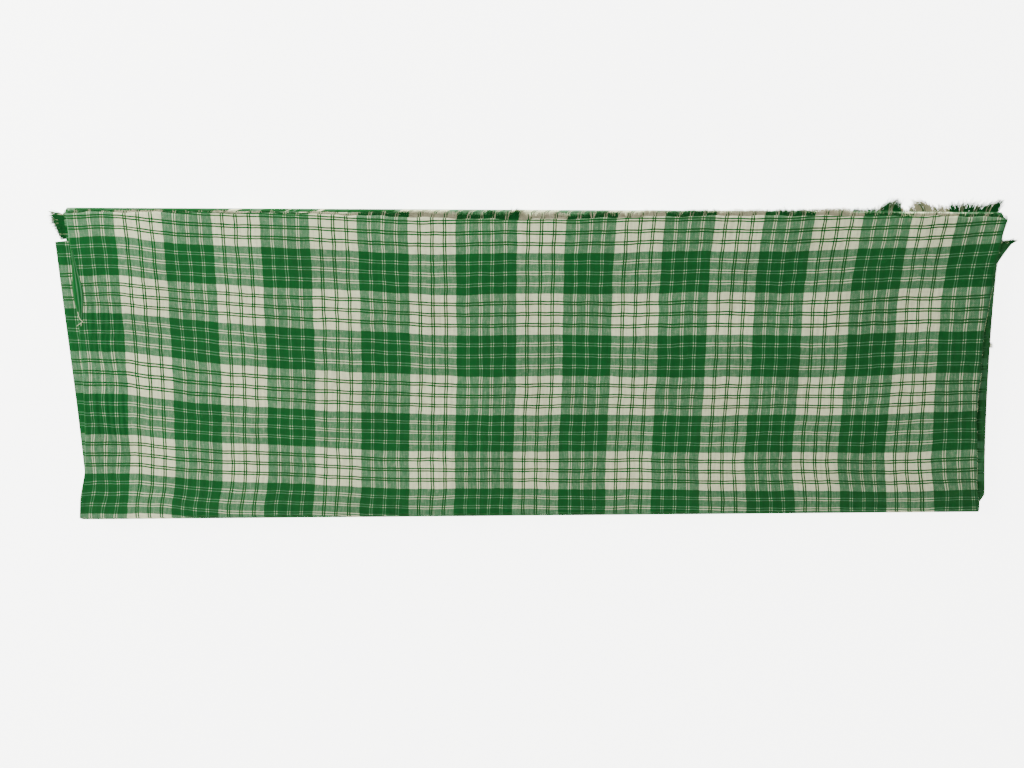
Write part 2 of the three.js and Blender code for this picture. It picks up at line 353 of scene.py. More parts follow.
yarn = {
    "cream": "#d9deb3",       # bleached but unbrightened cotton
    "green": "#064c1a",       # deep vat green
    "fringeCream": "#a09d82",  # darker cream: painted shade among the curled loose ends
    "crossed": "#3e704a",     # a green yarn over a cream one, or the other way
    "threadPitch": 0.45,      # 22 threads to the centimetre
    "lineHides": 0.78,        # how far the doubled green yarns cover what crosses them
    "lineShows": 0.8,         # and how much of a single cream yarn stands out
    "sheen": 0.03,            # short loose fibres
}


# Sizes in the weave, in millimetres; the shapes and the mottle are plain factors.
weave = {
    "wander": 1.3,            # hand weaving lets the yarns wander sideways
    "wanderOver": 16.0,
    "slub": 0.9,              # a thick place in a yarn
    "warpSlubShape": 0.16,    # its width over its length
    "weftSlubShape": 0.25,
    "streak": 1.9,            # threads that took the dye unevenly
    "streakShape": 0.045,
    "slow": 45.0,             # slow change of tone over a hand's width
    "pickHeight": 0.12,
    "mottle": 0.22,
    "slubMottle": 1.6,
    "shadedSelvedge": (4.5, 1.5),  # painted shade along the selvedge; the packed yarns there also let less cream show
    "selvedgeShade": -0.7,
}


# 1 where the yarn is cream and 0 where it is green, along a warp or a weft coordinate.
def yarnMask(tree, distance, green, cream, pitch, line, split):
    place = mathNode(tree, "FLOORED_MODULO", distance, green + cream)
    inCream = mathNode(tree, "LESS_THAN", place, cream)
    middle = mathNode(tree, "MULTIPLY_ADD", inCream, -(green + cream) / 2, cream + green / 2)
    offset = mathNode(tree, "SUBTRACT", place, middle)
    away = mathNode(tree, "ABSOLUTE", offset)
    kept = mathNode(tree, "MINIMUM", away, 1.5 * pitch)
    toPair = mathNode(tree, "PINGPONG", kept, pitch / 2)
    toLine = mathNode(tree, "SUBTRACT", toPair, split)
    gap = mathNode(tree, "ABSOLUTE", toLine)
    # Green lines are wider than cream ones.
    reach = mathNode(tree, "MULTIPLY_ADD", inCream, 0.32 * line, 0.5 * line)
    onLine = mathNode(tree, "LESS_THAN", gap, reach)
    change = mathNode(tree, "SUBTRACT", inCream, onLine)
    seen = mathNode(tree, "ABSOLUTE", change)
    # The doubled green yarns of the fine lines hide more of what crosses them.
    darkLine = mathNode(tree, "MULTIPLY", inCream, onLine)
    faded = mathNode(tree, "MULTIPLY_ADD", onLine, yarn["lineShows"] - 1, seen)
    return mathNode(tree, "MULTIPLY_ADD", darkLine, 1 - yarn["lineShows"] - yarn["lineHides"], faded)


# The warp's own mask, mirrored about the wide band.
def warpMask(tree, across):
    mirrored = mathNode(tree, "ABSOLUTE", across)
    beyond = mathNode(tree, "SUBTRACT", mirrored, check["wideHalf"])
    return yarnMask(tree, beyond, check["green"], check["cream"], check["warpPitch"],
                    check["warpLine"], check["warpSplit"])


# Plain-woven cotton with dyed yarns. Where the two yarns differ the cloth looks mottled,
# because either may lie uppermost; where they are alike it looks even and matt.
def checkedCotton():
    material, tree = newMaterial("yarnDyedCotton")
    mix, noise = "ShaderNodeMix", "ShaderNodeTexNoise"
    place = addNode(tree, "ShaderNodeUVMap", {"uv_map": "weavePlace"}, {})
    wander = addNode(tree, noise, {"noise_dimensions": "2D"},
                     {"Vector": place, "Scale": 1 / weave["wanderOver"], "Detail": 2.0})
    shift = addNode(tree, "ShaderNodeVectorMath", {"operation": "MULTIPLY_ADD"},
                    {0: wander.outputs["Color"], 1: (weave["wander"], weave["wander"], 0), 2: place})
    parts = addNode(tree, "ShaderNodeSeparateXYZ", {}, {0: shift})
    across, along = parts.outputs["X"], parts.outputs["Y"]
    warpCream = warpMask(tree, across)
    weftCream = yarnMask(tree, along, check["row"], check["row"], check["weftPitch"],
                         check["weftLine"], check["weftSplit"])

    # The weave: threads pass over and under each other.
    turn = math.pi / yarn["threadPitch"]
    warpTurn = mathNode(tree, "MULTIPLY", across, turn)
    weftTurn = mathNode(tree, "MULTIPLY", along, turn)
    warpWave = mathNode(tree, "SINE", warpTurn)
    weftWave = mathNode(tree, "SINE", weftTurn)
    crossing = mathNode(tree, "MULTIPLY", warpWave, weftWave)
    # Slubs make one yarn or the other stand out over a millimetre or two.
    warpSlubPlace = addNode(tree, "ShaderNodeVectorMath", {"operation": "MULTIPLY"},
                            {0: shift, 1: (1.0, weave["warpSlubShape"], 0)})
    warpSlub = addNode(tree, noise, {"noise_dimensions": "2D"},
                       {"Vector": warpSlubPlace, "Scale": 1 / weave["slub"], "Detail": 1.5})
    weftSlubPlace = addNode(tree, "ShaderNodeVectorMath", {"operation": "MULTIPLY"},
                            {0: shift, 1: (weave["weftSlubShape"], 1.0, 0)})
    weftSlub = addNode(tree, noise, {"noise_dimensions": "2D"},
                       {"Vector": weftSlubPlace, "Scale": 1 / weave["slub"], "Detail": 1.5})
    slub = mathNode(tree, "SUBTRACT", warpSlub, weftSlub)
    lean = mathNode(tree, "MULTIPLY_ADD", slub, weave["slubMottle"], crossing)
    # 0 where both yarns are green, 1 where they differ and 2 where both are cream.
    both = mathNode(tree, "ADD", warpCream, weftCream)
    # Painted shade along each selvedge: less cream shows within its last few millimetres, partly because
    # the yarns are packed there.
    toMiddle = mathNode(tree, "ABSOLUTE", across)
    edge = addNode(tree, "ShaderNodeMapRange", {}, {
        0: toMiddle, 1: check["selvedge"] - weave["shadedSelvedge"][0],
        2: check["selvedge"] - weave["shadedSelvedge"][1], 3: 0.0, 4: weave["selvedgeShade"]})
    both = mathNode(tree, "ADD", both, edge)
    differ = mathNode(tree, "PINGPONG", both, 1.0)
    mottle = mathNode(tree, "MULTIPLY", lean, weave["mottle"])
    mottled = mathNode(tree, "MULTIPLY_ADD", mottle, differ, both)
    # A single cream yarn over green already shows nearly as a full crossing.
    crossedShare = mathNode(tree, "DIVIDE", mottled, yarn["lineShows"] + 0.03)
    lower = addNode(tree, mix, {"data_type": "RGBA"},
                    {0: crossedShare, 6: toLinear(yarn["green"]), 7: toLinear(yarn["crossed"])})
    above = mathNode(tree, "SUBTRACT", mottled, 1.0)
    colour = addNode(tree, mix, {"data_type": "RGBA"},
                     {0: above, 6: lower, 7: toLinear(yarn["cream"])})

    # Uneven dye and beating-up: streaks along the warp, and a slow change.
    slow = addNode(tree, noise, {"noise_dimensions": "2D"},
                   {"Vector": place, "Scale": 1 / weave["slow"], "Detail": 2.0})
    streakPlace = addNode(tree, "ShaderNodeVectorMath", {"operation": "MULTIPLY"},
                          {0: shift, 1: (1.0, weave["streakShape"], 0)})
    streak = addNode(tree, noise, {"noise_dimensions": "2D"},
                     {"Vector": streakPlace, "Scale": 1 / weave["streak"], "Detail": 2.0})
    tone = mathNode(tree, "ADD", warpSlub, weftSlub)
    toneStreak = mathNode(tree, "MULTIPLY_ADD", streak, 1.4, tone)
    toneAll = mathNode(tree, "MULTIPLY_ADD", slow, 1.0, toneStreak)
    bright = addNode(tree, "ShaderNodeMapRange", {},
                     {0: toneAll, 1: 1.6, 2: 2.8, 3: 0.82, 4: 1.13})
    toned = addNode(tree, "ShaderNodeHueSaturation", {}, {"Value": bright, "Color": colour})

    pillow = mathNode(tree, "ABSOLUTE", crossing)
    relief = mathNode(tree, "MULTIPLY_ADD", tone, 1.5, pillow)
    bump = addNode(tree, "ShaderNodeBump", {},
                   {"Strength": 0.5, "Distance": weave["pickHeight"] * mm, "Height": relief})
    fuzz = addNode(tree, "ShaderNodeMapRange", {}, {0: tone, 1: 0.7, 2: 1.3, 3: 0.84, 4: 0.94})
    shader = addNode(tree, "ShaderNodeBsdfPrincipled", {}, {
        "Base Color": toned, "Roughness": fuzz, "Normal": bump,
        "Sheen Weight": yarn["sheen"], "Sheen Roughness": 0.6, "Specular IOR Level": 0.12,
    })
    addNode(tree, "ShaderNodeOutputMaterial", {}, {"Surface": shader})
    return material


# Loose warp ends keep their band's colour; twist shows as a fine slanting ripple.
def looseYarn(name, hexColour):
    material, tree = newMaterial(name)
    place = addNode(tree, "ShaderNodeTexCoord", {}, {})
    twist = addNode(tree, "ShaderNodeTexWave", {"bands_direction": "DIAGONAL"},
                    {"Vector": place.outputs["Object"], "Scale": 900.0, "Distortion": 2.0})
    fibre = addNode(tree, "ShaderNodeTexNoise", {},
                    {"Vector": place.outputs["Object"], "Scale": 700.0, "Detail": 3.0})
    shade = mathNode(tree, "MULTIPLY_ADD", twist.outputs["Fac"], 0.3, fibre.outputs["Fac"])
    bright = addNode(tree, "ShaderNodeMapRange", {}, {0: shade, 1: 0.3, 2: 1.0, 3: 0.72, 4: 1.2})
    toned = addNode(tree, "ShaderNodeHueSaturation", {}, {"Value": bright, "Color": toLinear(hexColour)})
    bump = addNode(tree, "ShaderNodeBump", {},
                   {"Strength": 0.4, "Distance": 0.0001, "Height": twist.outputs["Fac"]})
    shader = addNode(tree, "ShaderNodeBsdfPrincipled", {}, {
        "Base Color": toned, "Roughness": 0.9, "Normal": bump,
        "Sheen Weight": yarn["sheen"], "Sheen Roughness": 0.6, "Specular IOR Level": 0.1,
    })
    addNode(tree, "ShaderNodeOutputMaterial", {}, {"Surface": shader})
    return material


cotton = checkedCotton()
creamYarn = looseYarn("cardedCreamCotton", yarn["cream"])
greenYarn = looseYarn("cardedGreenCotton", yarn["green"])
# The raw ends' darker cream is painted shade among the curled loose threads.
shadedFringeYarn = looseYarn("shadedRawCotton", yarn["fringeCream"])
print("materials made")


# A mesh object from points in millimetres. uv holds the place in the weave.
def newPiece(name, points, faces, materials, uv=None, faceMaterial=None):
    mesh = bpy.data.meshes.new(name)
    mesh.from_pydata((np.asarray(points) * mm).tolist(), [], [list(map(int, f)) for f in faces])
    for material in materials:
        mesh.materials.append(material)
    if faceMaterial is not None:
        mesh.polygons.foreach_set("material_index", np.asarray(faceMaterial, np.int32))
    mesh.polygons.foreach_set("use_smooth", np.ones(len(mesh.polygons), bool))
    if uv is not None:
        layer = mesh.uv_layers.new(name="weavePlace")
        corner = np.empty(len(mesh.loops), np.int32)
        mesh.loops.foreach_get("vertex_index", corner)
        layer.data.foreach_set("uv", np.asarray(uv, np.float32)[corner].ravel())
    mesh.update()
    piece = bpy.data.objects.new(name, mesh)
    bpy.context.scene.collection.objects.link(piece)
    return piece


# Four-sided faces of a grid of points, row by row.
def gridFaces(rows, columns):
    index = np.arange(rows * columns).reshape(rows, columns)
    return np.stack([index[:-1, :-1], index[:-1, 1:], index[1:, 1:], index[1:, :-1]], -1).reshape(-1, 4)


def thicken(piece, thickness):
    solid = piece.modifiers.new("thickness", "SOLIDIFY")
    solid.thickness = thickness * mm
    solid.offset = 0
    solid.use_rim = True


# Spread of the mesh's columns between the two sides, finer beside the side fold.
def columnsAcross(step):
    count = int(round(cloth["meshWidth"] / step))
    if step != cloth["fineGrid"]:
        return np.linspace(0, 1, count + 1)
    finer = np.linspace(0, cloth["finerShare"], cloth["finerColumns"])[:-1]
    plain = np.linspace(cloth["finerShare"], 1, count - cloth["finerInsteadOf"])
    return np.concatenate([finer, plain])


# x of every column at depth y. Only the margins give way where a corner is turned under.
def spreadAcross(panel, share, y, stagger):
    left, right = sideAt(panel, "left", y), sideAt(panel, "right", y) - stagger
    if panel != turned["panel"]:
        return left + (right - left) * share
    plainLeft = np.polyval(panels[panel]["left"], y)
    plainRight = np.polyval(panels[panel]["right"], y) - stagger
    plain = plainLeft + (plainRight - plainLeft) * share
    margin = turned["margin"]
    nearLeft = np.clip(1 - (plain - plainLeft) / margin, 0, 1)
    nearRight = np.clip(1 - (plainRight - plain) / margin, 0, 1)
    return plain + (left - plainLeft) * nearLeft + (right - plainRight) * nearRight


# The top panel's raw edge hangs back a little in the middle and at its corners.
rawEdge = {
    "hangBack": 3.1,
    "middle": -14.0,
    "width": 92.0,
    "corner": 2.4,
    "cornerWidth": 14.0,
    "leftCorner": -282.0,
    "rightCorner": 292.0,
    "leftShare": 0.6,         # the left corner hangs back less
}


# y of a panel's far side at x.
def farAt(panel, x):
    far = np.polyval(panels[panel]["far"], x)
    if panel != panelCount:
        return far
    middle = rawEdge["hangBack"] * hump(x, rawEdge["middle"], rawEdge["width"])
    left = hump(x, rawEdge["leftCorner"], 0.7 * rawEdge["cornerWidth"])
    left = rawEdge["leftShare"] * rawEdge["corner"] * left
    right = rawEdge["corner"] * hump(x, rawEdge["rightCorner"], rawEdge["cornerWidth"])
    return far - middle - left - right + 0.3 * np.sin(x / 5.3) + 0.2 * np.sin(x / 2.1)


# Depth of every row at x, between the panel's two end lines.
def depthAt(panel, share, x):
    return np.polyval(panels[panel]["near"], x) * (1 - share) + farAt(panel, x) * share


# How far the lower ply's selvedge lies inside the upper one's.
def selvedgeStagger(panel):
    lower, upper = outline(f"panel_{panel}_lower_ply"), outline(f"panel_{panel}_upper_ply")
    return upper[:, 0].max() - lower[:, 0].max()


# One ply as rows of points from the side fold to the selvedge.
def plyGrid(panel, ply, shares, rows):
    stagger = 0 if ply else selvedgeStagger(panel)
    down, over = np.meshgrid(rows, shares, indexing="ij")
    # x and y lean on each other, so each is worked out twice.
    y = depthAt(panel, down, (over - 0.5) * cloth["topWidth"])
    x = spreadAcross(panel, over, y, stagger)
    y = depthAt(panel, down, x)
    x = spreadAcross(panel, over, y, stagger)
    across, along = placeAt(panel, x, y)
    return np.stack([x, y, heightAt(panel, ply, x, y)], -1), np.stack([across, along], -1)


# The side fold between the two plies, a half round.
def turnGrid(lower, upper, lowerPlace, upperPlace):
    steps = np.arange(1, cloth["turnSteps"]) / cloth["turnSteps"]
    first, last = lower[:, :1], upper[:, :1]
    middle, reach = (first + last) / 2, (last - first)[:, :, 2] / 2
    points = []
    places = []
    for step in steps:
        angle = math.pi * (step - 0.5)
        point = middle.copy()
        point[:, :, 0] -= reach * math.cos(angle)
        point[:, :, 2] += reach * math.sin(angle)
        points.append(point)
        place = lowerPlace[:, :1] * (1 - step) + upperPlace[:, :1] * step
        place[:, :, 0] += 2 * cloth["sideTurn"] * math.sin(math.pi * step)
        places.append(place)
    return np.concatenate(points, 1), np.concatenate(places, 1)


# Spread of the mesh's rows between near and far side, closer where a corner is turned under.
def rowShares(panel, step):
    rows = list(np.linspace(0, 1, int(round(cloth["meshLength"] / step)) + 1))
    if panel == turned["panel"]:
        for side in ("left", "right"):
            at = 1 - turned[side]["drop"] / turned["length"]
            rows += [at - 0.0008, at + 0.0012, at - 0.006]
    return np.array(sorted(rows))


def clothPanel(panel):
    step = cloth["fineGrid"] if panel == panelCount else cloth["grid"]
    shares, rows = columnsAcross(step), rowShares(panel, step)
    lower, lowerPlace = plyGrid(panel, 0, shares, rows)
    upper, upperPlace = plyGrid(panel, 1, shares, rows)
    turn, turnPlace = turnGrid(lower, upper, lowerPlace, upperPlace)
    points = np.concatenate([lower[:, ::-1], turn, upper], 1)
    places = np.concatenate([lowerPlace[:, ::-1], turnPlace, upperPlace], 1)
    faces = gridFaces(points.shape[0], points.shape[1])
    piece = newPiece(f"panel_{panel}_cloth", points.reshape(-1, 3), faces, [cotton], places.reshape(-1, 2))
    thicken(piece, cloth["ply"])
    return piece


# A fold between two panels: every ply and turn of the lower one runs round into the upper one.
def creaseCloth(fold):
    line, height = foldLine(fold), hingeHeight[fold]
    near = fold % 2 == 1
    out = -1 if near else 1
    shares = columnsAcross(cloth["grid"])
    row = np.array([0.0 if near else 1.0])
    rings = []
    for panel in (fold, fold + 1):
        lower, lowerPlace = plyGrid(panel, 0, shares, row)
        upper, upperPlace = plyGrid(panel, 1, shares, row)
        turn, turnPlace = turnGrid(lower, upper, lowerPlace, upperPlace)
        ring = np.concatenate([lower[:, ::-1], turn, upper], 1)[0]
        places = np.concatenate([lowerPlace[:, ::-1], turnPlace, upperPlace], 1)[0]
        if panel == fold + 1:
            ring, places = ring[::-1], places[::-1]
        rings.append((ring, places))
    (below, belowPlace), (above, abovePlace) = rings
    gap = abovePlace - belowPlace
    points, places = [], []
    for step in range(cloth["creaseSteps"] + 1):
        share = step / cloth["creaseSteps"]
        angle = math.pi * (share - 0.5)
        base = below * (1 - share) + above * share
        radius = np.abs(below[:, 2] - height) * (1 - share) + np.abs(above[:, 2] - height) * share
        y = np.polyval(line, base[:, 0]) + out * radius * math.cos(angle)
        points.append(np.stack([base[:, 0], y, height + radius * math.sin(angle)], -1))
        # Where the check doesn't run on from panel to panel it changes at once.
        taken = np.where(np.abs(gap) > cloth["checkJump"], float(step > 1), share)
        places.append(belowPlace + gap * taken)
    points, places = np.array(points), np.array(places)
    faces = gridFaces(points.shape[0], points.shape[1])
    piece = newPiece(f"fold_{fold}_cloth", points.reshape(-1, 3), faces, [cotton], places.reshape(-1, 2))
    thicken(piece, cloth["creasePly"])
    return piece


pieces = {}
for panel in range(1, panelCount + 1):
    piece = pieces[f"panel_{panel}"] = clothPanel(panel)
    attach(piece, f"panel_{panel}")
    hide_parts(*panelNodes(panel))
print("eight doubled panels laid")

for fold in range(1, panelCount):
    piece = pieces[f"fold_{fold}"] = creaseCloth(fold)
    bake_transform(piece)
    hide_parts(f"fold_{fold}_inner_crease", f"fold_{fold}_outer_crease")
print("seven folds turned")


# Many thin tapering threads in one mesh; kinds says which material each one has.
def threadMesh(name, paths, radii, materials, kinds, sides=4):
    points, faces, faceKinds = [], [], []
    start = 0
    angles = 2 * np.pi * np.arange(sides) / sides
    for path, radius, kind in zip(paths, radii, kinds):
        path = np.asarray(path, float)
        ahead = np.gradient(path, axis=0)
        ahead /= np.linalg.norm(ahead, axis=1, keepdims=True)
        side = np.cross(ahead, [0, 0, 1.0])
        side /= np.maximum(np.linalg.norm(side, axis=1, keepdims=True), 1e-9)
        up = np.cross(side, ahead)
        thin = np.linspace(1, 0.35, len(path))[:, None, None] * radius
        ring = path[:, None] + thin * (np.cos(angles)[None, :, None] * side[:, None]
                                       + np.sin(angles)[None, :, None] * up[:, None])
        count = len(path)
        points.append(ring.reshape(-1, 3))
        for i in range(count - 1):
            for j in range(sides):
                k = (j + 1) % sides
                faces.append((start + i * sides + j, start + i * sides + k,
                              start + (i + 1) * sides + k, start + (i + 1) * sides + j))
        faces.append(tuple(start + j for j in reversed(range(sides))))
        faces.append(tuple(start + (count - 1) * sides + j for j in range(sides)))
        faceKinds += [kind] * ((count - 1) * sides + 2)
        start += count * sides
    return newPiece(name, np.concatenate(points), faces, materials, None, faceKinds)


# Whether a warp thread at this place across the cloth is cream.
def isCreamWarp(across):
    period = check["green"] + check["cream"]
    place = (np.abs(across) - check["wideHalf"]) % period
    inCream = place < check["cream"]
    middle = check["cream"] / 2 if inCream else check["cream"] + check["green"] / 2
    away = min(abs(place - middle), 1.5 * check["warpPitch"])
    toPair = abs((away + check["warpPitch"] / 2) % check["warpPitch"] - check["warpPitch"] / 2)
    onLine = abs(toPair - check["warpSplit"]) < check["warpLine"] / 2
    return bool(inCream) != bool(onLine)


# Loose warp ends, in millimetres.
fringe = {
    "pitch": 0.36,
    "radius": 0.21,
    "steps": 6,
    "inside": 1.2,            # each one starts this far inside the edge
    "clump": 3.4,             # neighbours lean together over this width
    "clumping": 0.3,
    "leanSpread": 0.26,
    "packing": 0.75,          # tufts are thicker than the short ends between them
    "packedFrom": 1.8,
}


# How far the loose warp ends reach beyond the cloth, in tufts where they have worked loose.
def firstEndReach(x):
    grown = 1.3 + 2.9 * smooth(x, 120, 190)
    tufts = 4.6 * hump(x, 217, 7) + 4.2 * hump(x, 237, 6)
    tufts = tufts + 3.8 * hump(x, 281, 7) + 3.4 * hump(x, 262, 14)
    return grown + tufts - 1.6 * hump(x, 226.5, 2.5)


def firstEndLean(x):
    return -0.3 + 0.9 * hump(x, 213, 8) - 0.5 * hump(x, 240, 8) + 1.1 * hump(x, 274, 14)


def lastEndReach(x):
    grown = 0.9 + 2.0 * smooth(x, -125, -60) + 0.5 * np.sin(x / 9) ** 2
    return grown + 1.9 * hump(x, -9, 4.5) + 1.2 * hump(x, -24, 2.5) - 1.2 * smooth(x, 170, 230)


def lastEndLean(x):
    return 0.15 + 0.5 * hump(x, -9, 6)


def fringePiece(name, panel, ply, reachAt, leanAt, seed):
    draw = np.random.default_rng(seed)
    stagger = 0 if ply else selvedgeStagger(panel)
    paths, radii, kinds = [], [], []
    farY = float(farAt(panel, 0))
    left = float(sideAt(panel, "left", np.array([farY]))[0]) + 0.5
    right = float(sideAt(panel, "right", np.array([farY]))[0]) - stagger - 0.4
    x = left
    while x < right:
        at = x + draw.normal(0, 0.12)
        y = float(farAt(panel, at))
        spot = np.array([at]), np.array([y])
        across = placeAt(panel, *spot)[0][0]
        base = heightAt(panel, ply, *spot)[0]
        clump = fringe["clump"] * (1 + 0.4 * math.sin(at / 31))
        centre = (math.floor(at / clump) + 0.5 + 0.3 * math.sin(at)) * clump
        reach = max(0.5, reachAt(at) * draw.normal(1, 0.19))
        lean = leanAt(at) + draw.normal(0, fringe["leanSpread"])
        curl = draw.normal(0, 0.35)
        rise = draw.normal(0, 0.28)
        path = []
        for step in range(fringe["steps"]):
            share = step / (fringe["steps"] - 1)
            go = max(0.0, share * (reach + fringe["inside"]) - fringe["inside"]) / reach
            sideways = go * go * (lean * reach * 0.55 + fringe["clumping"] * (centre - at))
            sideways = sideways + curl * math.sin(3 * go) * go
            height = base + rise * go * min(1.0, reach / 3)
            if panel == 1:
                height = max(height + 0.2 * go, cloth["lowerPly"])
            beyond = share * (reach + fringe["inside"]) - fringe["inside"]
            path.append((at + sideways, y + beyond, height))
        paths.append(path)
        radii.append(fringe["radius"] * draw.uniform(0.8, 1.15))
        kinds.append(0 if isCreamWarp(across) else 1)
        packed = 1 + fringe["packing"] * min(max(0.0, reach - fringe["packedFrom"]), 5.0)
        x += fringe["pitch"] / packed * draw.uniform(0.7, 1.3)
    piece = threadMesh(name, paths, radii, [shadedFringeYarn, greenYarn], kinds)
    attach(piece, f"panel_{panel}")
    return piece


ends = {
    "first_end": {"panel": 1, "reach": firstEndReach, "lean": firstEndLean, "seed": 11},
    "last_end": {"panel": panelCount, "reach": lastEndReach, "lean": lastEndLean, "seed": 23},
}
for end, made in ends.items():
    for ply, part in enumerate(("lower", "upper")):
        piece = fringePiece(f"{end}_{part}_threads", made["panel"], ply, made["reach"], made["lean"],
                            made["seed"] + ply)
        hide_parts(f"{end}_{part}_fringe")
        pieces[f"{end}_{part}"] = piece
print("raw ends frayed")

# The frayed corner of the first end: green threads that fan out to the left.
cornerTuft = {"threads": 520, "steps": 6, "reach": 8.6, "radius": 0.22, "pale": 0.05, "seed": 5}


def frayedCorner():
    draw = np.random.default_rng(cornerTuft["seed"])
    low, high = (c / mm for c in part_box("first_end_corner_tuft"))
    paths, radii, kinds = [], [], []
    for thread in range(cornerTuft["threads"]):
        share = draw.uniform(0, 1)
        y = low[1] + (high[1] - low[1]) * (0.04 + 0.86 * share)
        x = float(sideAt(1, "left", np.array([y]))[0]) + 1.0
        reach = cornerTuft["reach"] * (0.4 + 0.52 * share) * draw.normal(1, 0.12) + 1.2
        aim = draw.normal(0.08 - 0.1 * share, 0.2)
        curl = draw.normal(0, 0.5)
        height = 0.65 + draw.uniform(-0.35, 0.5)
        path = []
        for go in np.linspace(0, 1, cornerTuft["steps"]):
            path.append((x - reach * go, y + aim * reach * go + curl * math.sin(2.6 * go) * go,
                         max(cloth["lowerPly"], height + 0.3 * go * draw.normal(0, 1))))
        paths.append(path)
        radii.append(cornerTuft["radius"] * draw.uniform(0.8, 1.2))
        kinds.append(0 if draw.uniform() < cornerTuft["pale"] else 1)
    return threadMesh("first_end_corner_threads", paths, radii, [creamYarn, greenYarn], kinds)


piece = frayedCorner()
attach(piece, "panel_1")
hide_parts("first_end_corner_tuft")

# The roll of the side fold that has slipped out beside the top panel and lies on its margin.
pleat = {
    "thickness": 0.35,
    "steps": 40,
    "round": 8,
    "from": 26.0,
    "to": 72.0,
    "widestAt": 46.0,
    "length": 17.0,           # of the wide part
    "width": (1.5, 4.4),      # at the ends, and added where it is widest
    "overlap": (0.3, 3.6),    # how far onto the top panel, likewise
    "height": (0.35, 0.3),
}


def slippedPleat():
    points, places = [], []
    for share in np.linspace(0, 1, pleat["steps"] + 1):
        y = pleat["from"] + (pleat["to"] - pleat["from"]) * share
        left = float(np.polyval(panels[panelCount]["left"], y))
        full = float(hump(y, pleat["widestAt"], pleat["length"]))
        taper = math.sin(math.pi * min(max(share, 0.02), 0.98)) ** 0.5
        right = left + pleat["overlap"][0] + pleat["overlap"][1] * full
        reach = (pleat["width"][0] + pleat["width"][1] * full) * taper
        height = pleat["height"][0] + pleat["height"][1] * full
        lying = float(heightAt(panelCount, 1, np.array([left + 1.5]), np.array([y]))[0])
        for turn in range(pleat["round"] + 1):
            angle = math.pi * (turn / pleat["round"] - 0.06)
            across = 0.5 - 0.5 * math.cos(angle)
            points.append((right - reach * across, y, lying - 0.1 + height * math.sin(angle)))
            # It shows a fixed patch of the check's green band, whatever row lies beside it: painted shade
            # on the rolled edge.
            places.append((-check["sideFold"] + 7.6 - 3.8 * across,
                           check["row"] + 3.2 + 1.6 * math.sin(y / 11)))
    faces = gridFaces(pleat["steps"] + 1, pleat["round"] + 1)
    made = newPiece(f"panel_{panelCount}_slipped_pleat", points, faces, [cotton], places)
    thicken(made, pleat["thickness"])
    return made


piece = slippedPleat()
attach(piece, f"panel_{panelCount}")
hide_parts(f"panel_{panelCount}_side_pleat")
pieces["pleat"] = piece

# Threads that have worked loose where panel 7's right far corner is turned under.
pointedCorner = {"threads": 420, "steps": 6, "radius": 0.22, "inward": 5.0, "pale": 0.04, "seed": 31}


def cornerThreads():
    draw = np.random.default_rng(pointedCorner["seed"])
    panel, corner = turned["panel"], turned["right"]
    rightX = float(np.polyval(panels[panel]["right"], 70))
    top = float(np.polyval(foldLine(panel - 1), rightX)) - corner["drop"]
    paths, radii, kinds = [], [], []
    for thread in range(pointedCorner["threads"]):
        share = draw.uniform(0, 1) ** 0.8
        across = draw.uniform(-pointedCorner["inward"], corner["point"])
        y = top - draw.uniform(0.2, 1.0) - 0.25 * (corner["point"] - across) * draw.uniform(0, 1)
        x = rightX + across
        reach = 1.6 + 1.6 * share
        lean = draw.normal(0.75, 0.3)
        curl = draw.normal(0, 0.4)
        height = panels[panel]["base"] + 0.9 + draw.uniform(-0.3, 0.5)
        path = []
        for go in np.linspace(0, 1, pointedCorner["steps"]):
            path.append((x + lean * reach * go, y + reach * go * 0.8 + curl * math.sin(2.6 * go) * go,
                         height + 0.4 * go))
        paths.append(path)
        radii.append(pointedCorner["radius"] * draw.uniform(0.8, 1.2))
        kinds.append(0 if draw.uniform() < pointedCorner["pale"] else 1)
    return threadMesh("panel_7_corner_threads", paths, radii, [creamYarn, greenYarn], kinds)


piece = cornerThreads()
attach(piece, "panel_7")

# The weft turns back at the selvedge in small loops, one every second pick.
loops = {
    "pitch": 0.95,
    "radius": 0.13,
    "reach": 0.32,
    "seed": 41,
    "tuftPanel": 7,           # where a few picks have pulled out
    "tuftAt": 14.0,
    "tuftThreads": 26,
}


# Whether a weft thread at this place along the cloth is cream.
def isCreamWeft(along):
    place = along % (2 * check["row"])
    inCream = place < check["row"]
    middle = check["row"] / 2 if inCream else 1.5 * check["row"]
    away = min(abs(place - middle), 1.5 * check["weftPitch"])
    toPair = abs((away + check["weftPitch"] / 2) % check["weftPitch"] - check["weftPitch"] / 2)
    onLine = abs(toPair - check["weftSplit"]) < check["weftLine"] / 2
    return bool(inCream) != bool(onLine)


